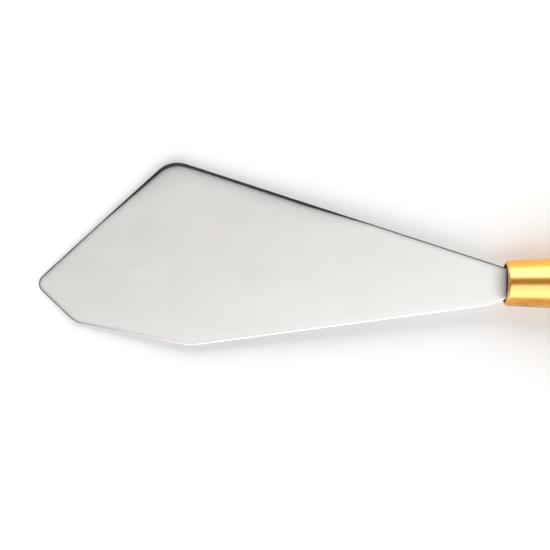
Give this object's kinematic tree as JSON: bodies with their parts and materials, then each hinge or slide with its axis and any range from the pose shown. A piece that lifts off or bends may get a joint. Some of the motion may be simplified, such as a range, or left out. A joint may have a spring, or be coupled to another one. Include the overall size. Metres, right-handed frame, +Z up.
{
  "type": "palette knife",
  "caption": "Palette knife with a kite-shaped flexible steel blade, a tapered brass ferrule and a turned, lacquered wooden handle.",
  "frame": {"origin": "bottom centre of the knife's bounding box: the level surface that the handle's belly lies on, midway between the blade's tip and the butt", "axes": "+X along the handle's turning axis from the blade's tip to the butt; +Z up, square to the flat blade; +Y across the blade, towards its crown"},
  "size_m": [0.2158, 0.0328, 0.016],
  "materials": {
    "blade_steel": "fine satin polish along the blade, darker on the eased rim",
    "ferrule_brass": "polished drawn brass, slightly tarnished",
    "handle_wood": "turned hardwood under clear gloss lacquer",
    "bedding_resin": "dark cured resin"
  },
  "bodies": {
    "handle": {"handle": "handle_wood", "ferrule": "ferrule_brass", "ferrule_pin": "ferrule_brass", "tang": "blade_steel", "tang_resin": "bedding_resin"},
    "blade": {"blade": "blade_steel"}
  },
  "joints": [
    {"name": "blade_flex", "type": "hinge", "parent": "handle", "child": "blade", "pos_m": [-0.02327, -0.00533, 0.008], "axis": [0, 1, 0], "range_deg": [-15, 15], "stiffness_Nm_per_rad": 2.4}
  ]
}
